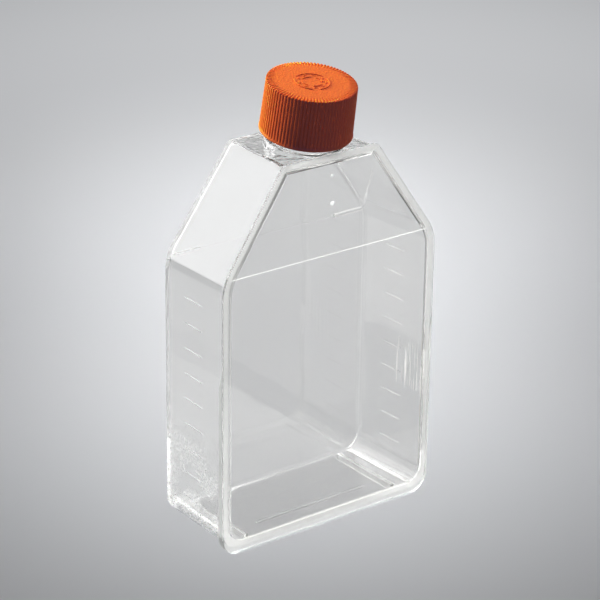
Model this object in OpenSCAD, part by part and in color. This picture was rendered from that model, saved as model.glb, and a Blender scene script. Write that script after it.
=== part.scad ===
// Cell culture flask that stands on its end: a clear moulded tray with a canted, threaded
// neck, a clear cover welded over its open face, and a ribbed screw cap with a seal disc.
// X runs across the flask, -Y is the cover's side, +Y the growth face, +Z runs up to the neck.
// The origin is the middle of the overall footprint, at the level the flask stands on.

/* [Flask] */
// Width across the rim of the cover
flask_width = 84; // [72:0.5:102]
// Depth from the cover's face to the growth face
flask_depth = 34.5; // [31:0.5:44]
// Height at which the side walls turn in to the shoulders
shoulder_height = 93; // [72:0.5:104]
// Height of the flask below its neck
body_height = 126.7; // [120:0.1:154]
// Width of the rim at the flat top that carries the neck
top_width = 37; // [34:0.5:44]
// Thickness of the tray's walls
wall = 1.5; // [1:0.1:2]
// Height of the feet that hold the floor clear of the bench
foot_height = 2.5; // [1.5:0.1:4]
// How far each side wall draws in from the cover to the growth face
side_draft = 1.3; // [0:0.1:2.5]
// How far each shoulder wall draws in from the cover to the growth face
shoulder_draft = 1.6; // [0:0.1:2.5]
// How far the cover and the growth face draw together at the neck end, each
face_slope = 1.3; // [0.1:0.1:2]
// Height above the turn of the side walls at which the cover starts to lean back
cover_crease_rise = 1; // [-4:0.5:6]
// Height above the turn of the side walls at which the growth face starts to lean in
growth_crease_rise = -1.7; // [-4:0.1:6]
// Radius of the long corners between the floor and the side walls
floor_corner_r = 5; // [3:0.5:8]
// Radius of the corners between the side walls and the shoulders
shoulder_corner_r = 14; // [4:1:20]
// Radius of the corners between the shoulders and the top
top_corner_r = 2.5; // [2:0.25:5]
// Radius of the edge around the growth face
back_edge_r = 1.2; // [0.5:0.1:1.5]

/* [Cover] */
// Thickness of the cover
cover_thickness = 1; // [0.8:0.1:1.6]
// How far the rim of the cover stands out past the tray's walls
rim_overhang = 0.7; // [0.4:0.1:1.2]
// Radius of the rim's two bottom corners
rim_corner_r = 6.5; // [4:0.5:9]
// Depth of the lip that wraps the tray's edge on the lower half of the rim
lip_depth = 2.9; // [2:0.1:5]
// Height at which the lip starts to run out
lip_low = 56; // [30:1:70]
// Height over which the lip runs out to the thickness of the cover
lip_runout = 10; // [4:1:20]

/* [Feet and marks] */
// Distance of each foot rib from the middle of the flask
foot_x = 30.2; // [20:0.1:34]
// Width of a foot rib
foot_width = 2.4; // [1.5:0.1:4]
// Distance of a foot rib's front end from the cover's face
foot_front = 4.5; // [3.5:0.5:10]
// Distance of the cross rib under the floor from the cover's face
cross_rib_y = 9.6; // [6:0.1:14]
// Length of the cross rib
cross_rib_length = 44; // [20:1:50]
// Width of the cross rib, which stands as proud of the floor as it is wide
cross_rib_size = 0.6; // [0.3:0.1:1]
// Rise of the liquid for each graduation
mark_step = 8.65; // [5:0.05:9.5]
// Number of graduations on each side wall
mark_count = 9; // [1:1:9]
// Length of a graduation
mark_length = 9; // [4:0.5:14]
// Width of a graduation
mark_width = 0.5; // [0.3:0.1:1]
// How proud of the wall a graduation stands
mark_proud = 0.3; // [0.1:0.05:0.6]
// Distance of a graduation's front end from the cover's face
mark_front = 13.5; // [6:0.5:16]

/* [Neck] */
// Angle by which the neck leans towards the cover
neck_tilt = 9.8; // [0:0.1:14]
// Distance of the neck's axis from the cover's face, where it leaves the top
neck_y = 15.3; // [14:0.1:18]
// Radius of the bore of the neck
neck_bore_r = 10; // [8:0.1:10.5]
// Thickness of the neck's wall below the thread
neck_wall = 1.6; // [1.2:0.1:2]
// Height of the collar at the root of the neck
collar_height = 2.4; // [1:0.1:2.8]
// How far the collar stands out past the neck
collar_overhang = 1.3; // [0.5:0.1:1.5]
// Gap between the root of the neck and the bottom of the closed cap, along the axis
cap_standoff = 4.7; // [3.2:0.1:6]

/* [Thread] */
// Rise of the thread in one turn
thread_pitch = 3.2; // [2.8:0.1:3.6]
// Number of turns that the cap and the neck hold each other
thread_turns = 1.5; // [1:0.25:1.75]
// How far the thread stands out of its wall
thread_height = 1; // [0.6:0.1:1.2]
// Width of the thread at its wall
thread_root = 1.6; // [1.2:0.1:1.8]
// Width of the thread at its crest
thread_crest = 0.7; // [0.4:0.1:1]
// Clearance between the crest of one thread and the wall that it faces
thread_clearance = 0.3; // [0.25:0.05:0.5]
// Distance from the neck's lip to the middle of its thread's last turn
thread_drop = 2.2; // [1.5:0.1:3]

/* [Cap] */
// Height of the cap
cap_height = 16.9; // [15:0.1:20]
// Thickness of the cap's skirt between its inside wall and the foot of the ribs
skirt_wall = 1.1; // [0.8:0.1:2]
// How much wider the skirt is at its open end than at its top, on the radius
cap_draft = 0.4; // [0:0.1:0.8]
// Thickness of the cap's top
cap_top = 1.4; // [1:0.1:2]
// Height of the bevel round the cap's top edge
cap_edge = 0.4; // [0.2:0.05:0.8]
// Number of grip ribs round the skirt
rib_count = 80; // [40:4:96]
// Depth of the grooves between the ribs
groove_depth = 0.3; // [0.15:0.05:0.4]
// Width of a groove
groove_width = 0.6; // [0.4:0.05:0.7]
// How far the grooves run in over the cap's top
groove_reach = 1.6; // [0.8:0.1:3]
// Plain band at the skirt's open end, below the grooves
skirt_band = 0.7; // [0.4:0.1:2]
// How far that band stands out past the ribs
band_proud = 0.1; // [0.05:0.05:0.3]
// Outer radius of the raised ring on the cap's top
emblem_r = 5.7; // [4:0.1:8]
// Width of the lines of the raised rings
emblem_line = 0.5; // [0.3:0.1:1]
// How proud of the cap's top the rings stand
emblem_proud = 0.25; // [0.1:0.05:0.5]

/* [Seal] */
// Thickness of the seal disc in the cap
seal_thickness = 1.2; // [0.8:0.1:2]
// Gap between the seal disc and the inside wall of the cap
seal_gap = 0.5; // [0.3:0.1:0.8]
// Play between the seal disc and the inside of the cap's top
seal_play = 0.05; // [0.02:0.01:0.15]

/* [Hidden] */
$fn = 96;
hull_fn = 32;
slice = 0.01;
weld = 0.3;
far = 400;
lip_steps = 8;
ring_step = 7.5;
thread_fade = 22.5;
thread_tip_share = 0.1;
back_steps = 3;
inner_ring_share = 0.6;
clear_body = [0.86, 0.9, 0.92, 0.45];
clear_cover = [0.8, 0.86, 0.9, 0.45];

// Neck and cap, measured along the neck's axis from the flask's top
neck_r = neck_bore_r + neck_wall;
thread_r = neck_r + thread_height;
cap_bore_r = thread_r + thread_clearance;
cap_crown_r = cap_bore_r + skirt_wall + groove_depth;
cap_base_r = cap_crown_r + cap_draft;
neck_length = cap_standoff + cap_height - cap_top - seal_thickness - seal_play;

// The footprint's middle lies between the growth face and whatever stands furthest forward
cap_edge_height = cap_standoff + cap_height - cap_edge;
cap_reach = cap_crown_r * cos(neck_tilt) + cap_edge_height * sin(neck_tilt);
front_y = -(flask_depth - max(0, cap_reach - neck_y)) / 2;
cover_crease = shoulder_height + cover_crease_rise;
growth_crease = shoulder_height + growth_crease_rise;

// Corners of the rim's outline drawn in by one distance for each wall, anticlockwise from the
// bottom left: floor, side walls, shoulders and top
function outline(floor_in, side_in, shoulder_in, top_in) =
    let (
        half = flask_width / 2,
        run = half - top_width / 2,
        rise = body_height - shoulder_height,
        slant = norm([run, rise]),
        lean = run / rise,
        drop = shoulder_in * slant / run,
        x_side = half - side_in,
        z_shoulder = shoulder_height + side_in / lean - drop,
        z_top = body_height - top_in,
        x_top = half - (z_top + drop - shoulder_height) * lean
    )
    [[-x_side, floor_in], [x_side, floor_in], [x_side, z_shoulder],
     [x_top, z_top], [-x_top, z_top], [-x_side, z_shoulder]];

// Outline of the tray at a depth behind the cover's face, drawn in further by a wall
function tray_outline(depth, inset) =
    let (part = depth / flask_depth)
    outline(
        foot_height + inset,
        rim_overhang + side_draft * part + inset,
        rim_overhang + shoulder_draft * part + inset,
        rim_overhang + inset
    );

function unit(v) = v / norm(v);

// Half the angle inside corner i of a closed outline
function half_angle(points, i) =
    let (
        n = len(points),
        to_last = unit(points[(i + n - 1) % n] - points[i]),
        to_next = unit(points[(i + 1) % n] - points[i])
    )
    acos(to_last * to_next) / 2;

function corner_centre(points, i, r) =
    let (
        n = len(points),
        to_last = unit(points[(i + n - 1) % n] - points[i]),
        to_next = unit(points[(i + 1) % n] - points[i])
    )
    points[i] + unit(to_last + to_next) * r / sin(half_angle(points, i));

function tangent_points(points, i, r) =
    let (
        n = len(points),
        reach = r / tan(half_angle(points, i)),
        to_last = unit(points[(i + n - 1) % n] - points[i]),
        to_next = unit(points[(i + 1) % n] - points[i])
    )
    [points[i] + to_last * reach, points[i] + to_next * reach];

// Convex outline with a true arc at each corner
module rounded(points, radii) {
    polygon([for (i = [0 : len(points) - 1]) each tangent_points(points, i, radii[i])]);
    for (i = [0 : len(points) - 1])
        translate(corner_centre(points, i, radii[i])) circle(r = radii[i]);
}

function radii_for(floor_r, shoulder_r, top_r) =
    [floor_r, floor_r, shoulder_r, top_r, top_r, shoulder_r];

// Stands a front-view outline up, with its front face at a distance behind the cover's face
module stand(depth, thickness) {
    translate([0, front_y + depth + thickness, 0]) rotate([90, 0, 0])
        linear_extrude(height = thickness) children();
}

// Profile in Y and Z, given behind the cover's face, run through the whole width
module across(points) {
    rotate([90, 0, 90]) translate([front_y, 0, -far / 2])
        linear_extrude(height = far) polygon(points);
}

// How far the cover has leaned back at a height
function cover_shift(z) =
    face_slope * max(0, z - cover_crease) / (body_height - cover_crease);

// Everything at least a distance behind the cover's face, which leans back above its crease
module behind_cover(depth) {
    top = body_height + far;
    across([[depth, -far], [far, -far], [far, top], [depth + cover_shift(top), top],
            [depth, cover_crease]]);
}

// Leans its children in by the slope of the growth face, from its crease upwards
module lean_in() {
    slope = -face_slope / (body_height - growth_crease);
    multmatrix([[1, 0, 0, 0], [0, 1, slope, -slope * growth_crease], [0, 0, 1, 0]]) children();
}

// Outline of the tray at its growth face, drawn in by a wall and by a rounded edge
module growth_outline(inset, draw) {
    rounded(tray_outline(flask_depth - inset, inset + draw), tray_radii(inset), $fn = hull_fn);
}

function tray_radii(inset) =
    radii_for(floor_corner_r - inset, shoulder_corner_r - inset, top_corner_r - inset);

// The tray's outline all the way back, with a rounded edge at the growth face
module tray_form(inset) {
    edge_r = back_edge_r;
    hull() {
        stand(0, slice) rounded(tray_outline(0, inset), tray_radii(inset), $fn = hull_fn);
        for (k = [0 : back_steps]) {
            turn = 90 * k / back_steps;
            draw = edge_r * (1 - cos(turn));
            depth = flask_depth - inset - edge_r * (1 - sin(turn)) - slice;
            stand(depth, slice) intersection() {
                growth_outline(inset, draw);
                translate([-far / 2, growth_crease - far]) square(far);
            }
            lean_in() stand(depth, slice) intersection() {
                growth_outline(inset, draw);
                translate([-far / 2, growth_crease]) square(far);
            }
        }
    }
}

// Side wall's outer face at a depth and at mid height
function side_x(depth) = flask_width / 2 - rim_overhang - side_draft * depth / flask_depth;

// One graduation on the side wall at +X, following the wall's draft
module graduation(z) {
    lean = atan(side_draft / flask_depth);
    translate([side_x(mark_front), front_y + mark_front, z - mark_width / 2])
        rotate([0, 0, lean]) translate([-weld, 0, 0])
            cube([weld + mark_proud, mark_length, mark_width]);
}

module graduations() {
    for (side = [0, 1])
        mirror([side, 0, 0])
            for (i = [1 : mark_count])
                graduation(foot_height + wall + i * mark_step);
}

module feet() {
    rear = flask_depth - back_edge_r;
    for (side = [-1, 1])
        translate([side * foot_x - foot_width / 2, front_y + foot_front, 0])
            cube([foot_width, rear - foot_front, foot_height + weld]);
    translate([-cross_rib_length / 2, front_y + cross_rib_y - cross_rib_size / 2,
               foot_height - cross_rib_size])
        cube([cross_rib_length, cross_rib_size, cross_rib_size + weld]);
}

// Puts its children on the neck's axis, with Z = 0 where it leaves the flask's top
module on_neck() {
    translate([0, front_y + neck_y, body_height - rim_overhang])
        rotate([neck_tilt, 0, 0]) children();
}

// How much of its height the thread has at an angle from its start
function thread_share(angle, sweep) =
    min(1, min(angle, sweep - angle) / thread_fade);

// Right-hand thread on a wall of radius r, rising from height z: way is 1 outwards, -1 inwards
module helical_thread(r, way, z) {
    sweep = 360 * thread_turns;
    steps = sweep / ring_step;
    rings = [for (k = [0 : steps])
        let (
            a = k * ring_step,
            lift = z + thread_pitch * a / 360,
            share = thread_share(a, sweep),
            r_root = r - way * weld,
            r_crest = r_root + way * (weld + thread_height) * max(share, thread_tip_share)
        )
        each [for (p = [[r_root, -thread_root], [r_crest, -thread_crest],
                        [r_crest, thread_crest], [r_root, thread_root]])
            [p[0] * cos(a), p[0] * sin(a), lift + p[1] / 2]]];
    sides = [for (k = [0 : steps - 1]) for (j = [0 : 3])
        let (m = (j + 1) % 4, a = 4 * k, b = 4 * k + 4)
        each (way < 0
            ? [[a + j, b + j, b + m], [a + j, b + m, a + m]]
            : [[a + j, b + m, b + j], [a + j, a + m, b + m]])];
    last = 4 * steps;
    ends = way < 0
        ? [[0, 1, 2, 3], [last + 3, last + 2, last + 1, last]]
        : [[3, 2, 1, 0], [last, last + 1, last + 2, last + 3]];
    polyhedron(points = rings, faces = concat(sides, ends), convexity = 10);
}

// Middle of the neck thread's first turn
thread_start = neck_length - thread_drop - thread_pitch * thread_turns;

module neck() {
    difference() {
        union() {
            on_neck() {
                translate([0, 0, -neck_r]) cylinder(r = neck_r, h = neck_r + neck_length);
                helical_thread(neck_r, 1, thread_start);
            }
            intersection() {
                on_neck() translate([0, 0, -neck_r])
                    cylinder(r = neck_r + collar_overhang, h = neck_r + collar_height);
                behind_cover(cover_thickness);
            }
        }
        translate([-far / 2, -far / 2, body_height - rim_overhang - wall - far])
            cube(far);
    }
}

module neck_bore() {
    on_neck() translate([0, 0, -neck_r - wall])
        cylinder(r = neck_bore_r, h = 2 * neck_r + wall + neck_length);
}

module flask_body() {
    color(clear_body) difference() {
        union() {
            intersection() {
                union() {
                    difference() {
                        tray_form(0);
                        tray_form(wall);
                    }
                    graduations();
                    feet();
                }
                behind_cover(cover_thickness);
            }
            neck();
        }
        neck_bore();
    }
}

// Depth of the lip behind the cover's face at a height
function lip_at(z) =
    let (
        t = min(1, max(0, (z - lip_low) / lip_runout)),
        ease = t * t * (3 - 2 * t)
    )
    lip_depth + (cover_thickness - lip_depth) * ease;

module cover_plate() {
    top = body_height + far;
    lip_line = [for (i = [0 : lip_steps])
        let (z = lip_low + lip_runout * i / lip_steps) [lip_at(z), z]];
    color(clear_cover) difference() {
        intersection() {
            stand(0, far) rounded(
                outline(0, 0, 0, 0),
                radii_for(rim_corner_r, shoulder_corner_r, top_corner_r)
            );
            behind_cover(0);
            across(concat(
                [[-far, -far], [lip_depth, -far]],
                lip_line,
                [[cover_thickness, cover_crease], [cover_thickness + cover_shift(top), top],
                 [-far, top]]
            ));
        }
        intersection() {
            tray_form(0);
            behind_cover(cover_thickness);
        }
    }
}

module seal_disc() {
    color([0.95, 0.95, 0.93]) on_neck() translate([0, 0, neck_length])
        cylinder(r = cap_bore_r - seal_gap, h = seal_thickness);
}

// Round outline with a V-shaped notch between each pair of ribs, cut in to radius r_in
module ribbed_round(r, r_in) {
    pitch = 360 / rib_count;
    land = pitch / 2 - asin(groove_width / 2 / cap_crown_r);
    polygon([for (i = [0 : rib_count - 1])
        let (a = i * pitch)
        each [[r * cos(a - land), r * sin(a - land)], [r * cos(a + land), r * sin(a + land)],
              [r_in * cos(a + pitch / 2), r_in * sin(a + pitch / 2)]]]);
}

// The cap's outside: a plain band, the tapering ribbed skirt, and the notched edge of the top
module cap_outside() {
    skirt_top = cap_height - cap_edge;
    cylinder(r = cap_base_r + band_proud, h = skirt_band);
    linear_extrude(height = skirt_top, scale = cap_crown_r / cap_base_r)
        ribbed_round(cap_base_r, cap_base_r - groove_depth);
    translate([0, 0, skirt_top])
        linear_extrude(height = cap_edge, scale = (cap_crown_r - cap_edge) / cap_crown_r)
            ribbed_round(cap_crown_r, cap_crown_r - groove_reach);
}

module emblem_ring(r) {
    translate([0, 0, cap_height - weld]) difference() {
        cylinder(r = r, h = weld + emblem_proud);
        translate([0, 0, -slice])
            cylinder(r = r - emblem_line, h = weld + emblem_proud + 2 * slice);
    }
}

module screw_cap() {
    color([0.93, 0.36, 0.09]) on_neck() translate([0, 0, cap_standoff]) {
        difference() {
            cap_outside();
            translate([0, 0, -slice])
                cylinder(r = cap_bore_r, h = cap_height - cap_top + slice);
        }
        emblem_ring(emblem_r);
        emblem_ring(emblem_r * inner_ring_share);
        helical_thread(cap_bore_r, -1, thread_start - cap_standoff - thread_pitch / 2);
    }
}

flask_body();
cover_plate();
seal_disc();
screw_cap();
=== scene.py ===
# %% [markdown]
# # A cell culture flask
#
# A cell culture flask is a small moulded bottle of clear polystyrene. It is made of a deep tray
# with a canted neck, a flat cover welded over the tray's open side, and a ribbed screw cap with
# a seal disc inside it. Clear things are hard to draw: they are seen only by what they bend and
# mirror. So this lesson gives every wall its true thickness, rounds every edge, and places the
# soft lights with as much care as the mesh.
#
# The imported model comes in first. It is the frame that every finer piece has to fit.

import math

import bmesh
import bpy
from mathutils import Matrix, Vector


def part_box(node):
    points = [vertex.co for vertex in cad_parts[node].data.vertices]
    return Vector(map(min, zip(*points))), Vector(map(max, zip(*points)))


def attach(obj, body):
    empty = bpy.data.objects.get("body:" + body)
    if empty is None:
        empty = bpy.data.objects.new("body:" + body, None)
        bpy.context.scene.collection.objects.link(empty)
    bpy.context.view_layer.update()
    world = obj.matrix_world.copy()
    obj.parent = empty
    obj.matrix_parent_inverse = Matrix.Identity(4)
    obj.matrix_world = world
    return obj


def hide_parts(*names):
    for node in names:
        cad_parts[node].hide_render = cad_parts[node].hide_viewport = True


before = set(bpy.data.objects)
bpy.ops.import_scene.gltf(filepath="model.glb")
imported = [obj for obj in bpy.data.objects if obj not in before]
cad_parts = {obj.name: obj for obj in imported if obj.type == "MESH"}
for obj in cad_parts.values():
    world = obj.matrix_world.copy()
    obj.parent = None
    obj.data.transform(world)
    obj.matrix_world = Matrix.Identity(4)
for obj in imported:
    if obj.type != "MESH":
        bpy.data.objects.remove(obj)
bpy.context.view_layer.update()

# %% [markdown]
# ## Working in millimetres
#
# The flask's drawing is in millimetres and Blender's scene is in metres. The pieces could be
# modelled in metres, but then every size is a number with four noughts, and the Boolean solver
# works close to its smallest step. So each mesh is built in millimetres and scaled once, at the
# end, when it gets its object. The object itself stays at the origin, unturned and unscaled.

# %% Helpers for every mesh
MM = 0.001
TOUCH = 1e-3
SAME_POINT = 2e-3
SEAM = 1e-4
CUT_ACCURACY = 1e-5


def add(name, data):
    """A new object in the scene."""
    obj = bpy.data.objects.new(name, data)
    bpy.context.scene.collection.objects.link(obj)
    return obj


def bare_object(bm, name):
    """Gives a mesh that is still in millimetres a temporary object."""
    mesh = bpy.data.meshes.new(name)
    bm.to_mesh(mesh)
    bm.free()
    return add(name, mesh)


def pour(part, bm):
    """Moves everything in one mesh into another."""
    carrier = bpy.data.meshes.new("carrier")
    part.to_mesh(carrier)
    part.free()
    bm.from_mesh(carrier)
    bpy.data.meshes.remove(carrier)


def cut_or_join(base, bm, operation="UNION"):
    """Runs one exact Boolean of a mesh on a millimetre object, and uses the mesh up."""
    tool = bare_object(bm, "tool")
    modifier = base.modifiers.new("Step", "BOOLEAN")
    modifier.operation = operation
    modifier.solver = "EXACT"
    modifier.object = tool
    graph = bpy.context.evaluated_depsgraph_get()
    result = bpy.data.meshes.new_from_object(base.evaluated_get(graph))
    base.modifiers.clear()
    base.data = result
    bpy.data.objects.remove(tool)


def everything(bm):
    return bm.verts[:] + bm.edges[:] + bm.faces[:]


def open_edges(bm):
    return [e for e in bm.edges if e.is_boundary]


def face_outwards(bm):
    bmesh.ops.recalc_face_normals(bm, faces=bm.faces)


def describe(name, bm):
    print(f"{name}: {len(bm.faces)} faces; still open: {len(open_edges(bm))}")


def closed_loop(bm, corners):
    """A closed wire of four corners, each given as a radius and a height."""
    points = [bm.verts.new((r, 0.0, z)) for r, z in corners]
    return points + [bm.edges.new((points[i], points[(i + 1) % 4])) for i in range(4)]


def move(bm, matrix):
    bmesh.ops.transform(bm, matrix=matrix, verts=bm.verts)


def sweep_round(bm, geom, angle, steps, **settings):
    """Spins wires round the Z axis."""
    bmesh.ops.spin(
        bm, geom=geom, cent=(0, 0, 0), axis=(0, 0, 1), angle=angle, steps=steps, **settings
    )


def bevel(bm, geom, offset, segments, affect="EDGES"):
    """A round bevel with the settings that the editor would use."""
    return bmesh.ops.bevel(
        bm,
        geom=geom,
        offset=offset,
        offset_type="OFFSET",
        segments=segments,
        affect=affect,
        profile=0.5,
        material=-1,
        clamp_overlap=True,
    )


def finish_piece(obj, materials, body, stands_for, sharp_angle=32, second=None):
    """Scales a millimetre object to metres, shades it and puts it in the frame.

    Each face for which second is true gets the second material.
    """
    bm = bmesh.new()
    bm.from_mesh(obj.data)
    bmesh.ops.remove_doubles(bm, verts=bm.verts, dist=SAME_POINT)
    bmesh.ops.dissolve_degenerate(bm, edges=bm.edges, dist=SAME_POINT / 2)
    for face in bm.faces:
        face.smooth = True
        face.material_index = int(bool(second and second(face)))
    print(f"{obj.name}: {sum(f.material_index for f in bm.faces)} faces in the second material")
    bmesh.ops.scale(bm, vec=(MM, MM, MM), verts=bm.verts)
    for edge in bm.edges:
        edge.smooth = edge.calc_face_angle(math.pi) < math.radians(sharp_angle)
    obj.data.materials.clear()
    for material in materials:
        obj.data.materials.append(material)
    bm.to_mesh(obj.data)
    bm.free()
    weigh = obj.modifiers.new("Weighted normals", "WEIGHTED_NORMAL")
    weigh.keep_sharp = True
    weigh.weight = 80
    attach(obj, body)
    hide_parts(*stands_for)
    obj.data.calc_loop_triangles()
    print(f"{obj.name}: {len(obj.data.vertices)} points, {len(obj.data.loop_triangles)} triangles")
    return obj


# %% [markdown]
# ## The outline
#
# Seen from the front the flask is a house shape: a floor, two upright walls, two sloping
# shoulders and a flat top. Every part of it, the rim, the tray's outside and the tray's inside,
# is that same outline drawn in by a few tenths or a few millimetres, and the walls lean in a
# little towards the back so that the moulding can leave its mould. One function gives the six
# corners for any draw-in, and a vertex bevel rounds them. The sizes are those of the drawing.

# %% The flask's main sizes
FLASK_WIDTH = 84.0
FLASK_DEPTH = 34.5
SHOULDER_HEIGHT = 93.0
BODY_HEIGHT = 126.7
TOP_WIDTH = 37.0
WALL = 1.5
FOOT_HEIGHT = 2.5
SIDE_DRAFT = 1.3
SHOULDER_DRAFT = 1.6
RIM_OVERHANG = 0.7
CORNER_STEPS = 8
FRONT_Y = 1000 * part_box("cover_plate")[0][1]
print("the cover's face is at y =", round(FRONT_Y, 3), "mm")


def outline(floor_in, side_in, shoulder_in, top_in):
    """Six corners of the house shape, from the bottom left and round past the bottom right."""
    half = FLASK_WIDTH / 2
    run = half - TOP_WIDTH / 2
    rise = BODY_HEIGHT - SHOULDER_HEIGHT
    drop = shoulder_in * math.hypot(run, rise) / run
    x_side = half - side_in
    z_shoulder = SHOULDER_HEIGHT + side_in * rise / run - drop
    z_top = BODY_HEIGHT - top_in
    x_top = half - (z_top + drop - SHOULDER_HEIGHT) * run / rise
    return [
        (-x_side, floor_in),
        (x_side, floor_in),
        (x_side, z_shoulder),
        (x_top, z_top),
        (-x_top, z_top),
        (-x_side, z_shoulder),
    ]


def tray_outline(depth, inset):
    """The tray's outline at a depth behind the cover's face, drawn in by part of its wall."""
    part = depth / FLASK_DEPTH
    return outline(
        FOOT_HEIGHT + inset,
        RIM_OVERHANG + SIDE_DRAFT * part + inset,
        RIM_OVERHANG + SHOULDER_DRAFT * part + inset,
        RIM_OVERHANG + inset,
    )


def outline_face(bm, corners, floor_r, shoulder_r, top_r, depth):
    """A flat face in the shape of an outline with rounded corners, at one depth."""
    verts = [bm.verts.new((x, FRONT_Y + depth, z)) for x, z in corners]
    bm.faces.new(verts)
    radii = [floor_r, floor_r, shoulder_r, top_r, top_r, shoulder_r]
    for vert, radius in zip(verts, radii):
        one, two = [(e.other_vert(vert).co - vert.co).normalized() for e in vert.link_edges]
        reach = radius / math.tan(one.angle(two) / 2)
        bevel(bm, [vert], reach, CORNER_STEPS, affect="VERTICES")


# %% [markdown]
# ## Slopes at the neck end
#
# Above the shoulders the cover leans back and the growth face leans in, by 1.3 mm each, so the
# flask is a wedge there. A slanted knife does this: `bisect_plane` cuts the straight form on the
# leaning plane and throws the rest away, and the hole that is left is filled again.

# %% Knife cuts
FACE_LEAN = 1.3
COVER_CREASE = SHOULDER_HEIGHT + 1.0
GROWTH_CREASE = SHOULDER_HEIGHT - 1.7
COVER_SLOPE = FACE_LEAN / (BODY_HEIGHT - COVER_CREASE)
GROWTH_SLOPE = FACE_LEAN / (BODY_HEIGHT - GROWTH_CREASE)


def cover_shift(z):
    """How far the cover has leaned back at a height."""
    return COVER_SLOPE * max(0.0, z - COVER_CREASE)


def knife(bm, point, normal):
    """Cuts on a plane, removes what lies on the normal's side and returns the new edges."""
    cut = bmesh.ops.bisect_plane(
        bm,
        geom=everything(bm),
        dist=CUT_ACCURACY,
        plane_co=point,
        plane_no=normal,
        clear_outer=True,
    )
    return [e for e in cut["geom_cut"] if isinstance(e, bmesh.types.BMEdge)]


def knife_panel(bm, depth, way, crease, slope):
    """Cuts along a panel that leans above its crease, and removes what is beyond it."""
    knife(bm, (0, FRONT_Y + depth, 0), (0, way, 0))
    knife(bm, (0, FRONT_Y + depth, crease), (0, way, slope))


# %% [markdown]
# ## The tray
#
# The tray is the body of the flask: a deep box with 1.5 mm walls, open at the front. It could be
# one sheet with a Solidify modifier, but its inside corners are then a copy of its outside, and
# the front edge would not be flat for the cover. So the outside and the inside are made as two
# forms, and their open fronts are bridged by the narrow face that the cover is welded to.
# Each form is bridged from a front outline to a smaller back outline, cut on the slopes, closed
# at the back and rounded there with a bevel.

# %% The tray's two forms
FLOOR_CORNER_R = 5.0
SHOULDER_CORNER_R = 14.0
TOP_CORNER_R = 2.5
BACK_EDGE_R = 1.2
INNER_FLOOR_R = 6.5
INNER_BACK_R = 0.8
COVER_THICKNESS = 1.0
WELD_GAP = 0.02
ROOM_TO_CUT = 4.0


def tray_form(inset):
    """One form of the tray, outer or inner, closed at the back and open at the front."""
    bm = bmesh.new()
    back_depth = FLASK_DEPTH - inset
    for depth in (0.0, back_depth + ROOM_TO_CUT):
        outline_face(
            bm,
            tray_outline(depth, inset),
            INNER_FLOOR_R if inset else FLOOR_CORNER_R,
            SHOULDER_CORNER_R - inset,
            TOP_CORNER_R - inset,
            depth,
        )
    ends = bm.faces[:]
    rims = [e for f in ends for e in f.edges]
    bmesh.ops.bridge_loops(bm, edges=rims)
    bmesh.ops.delete(bm, geom=ends, context="FACES_ONLY")
    knife_panel(bm, back_depth, 1, GROWTH_CREASE, GROWTH_SLOPE)
    middle = FRONT_Y + FLASK_DEPTH / 2
    hole = [e for e in open_edges(bm) if e.verts[0].co.y > middle]
    panel_with_crease(bm, hole, GROWTH_CREASE)
    face_outwards(bm)
    bevel(bm, hole, INNER_BACK_R if inset else BACK_EDGE_R, 6)
    knife_panel(bm, COVER_THICKNESS + WELD_GAP, -1, COVER_CREASE, COVER_SLOPE)
    return bm


def panel_with_crease(bm, hole, crease_z):
    """Fills a hole with two flat panels that meet along a crease."""
    ends = sorted(
        {v for e in hole for v in e.verts if abs(v.co.z - crease_z) < TOUCH},
        key=lambda v: v.co.x,
    )
    crease = bm.edges.new((ends[0], ends[-1]))
    for upper in (False, True):
        half = [e for e in hole if (sum(v.co.z for v in e.verts) / 2 > crease_z) == upper]
        bmesh.ops.contextual_create(bm, geom=half + [crease])


def tray_shell():
    """The outer form and the turned-round inner form, joined by the narrow weld face."""
    outer = tray_form(0.0)
    inner = tray_form(WALL)
    bmesh.ops.reverse_faces(inner, faces=inner.faces)
    pour(inner, outer)
    bmesh.ops.bridge_loops(outer, edges=open_edges(outer))
    face_outwards(outer)
    describe("tray shell", outer)
    return outer


tray = bare_object(tray_shell(), "tray")

# %% [markdown]
# ## The weld bead
#
# When the cover is pressed on, some soft plastic is squeezed out of the joint, and it stands as
# a small clear bead in the corner between the cover and the wall. It widens the bright frame
# that one sees from the front. The bead is a ring with six corners in its section. Each corner
# is a wire outline at its own draw-in and depth, and neighbouring outlines are bridged. Along
# the floor the joint is pressed flat, so the knife takes the bead's lowest stretch away.


# %% A wire outline that follows the cover's slope
def ring(bm, corners, radii, depth_at, levels):
    """Adds a rounded wire outline; each point's depth behind the cover comes from its height."""
    part = bmesh.new()
    outline_face(part, corners, *radii, 0.0)
    for z in levels:
        bmesh.ops.bisect_plane(
            part,
            geom=everything(part),
            dist=CUT_ACCURACY,
            plane_co=(0, 0, z),
            plane_no=(0, 0, 1),
        )
    bmesh.ops.delete(part, geom=[e for e in part.edges if not e.is_boundary], context="EDGES")
    bmesh.ops.delete(part, geom=part.faces[:], context="FACES_ONLY")
    for vert in part.verts:
        vert.co.y = FRONT_Y + depth_at(vert.co.z) + cover_shift(vert.co.z)
    before = set(bm.edges)
    pour(part, bm)
    return [e for e in bm.edges if e not in before]


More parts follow.
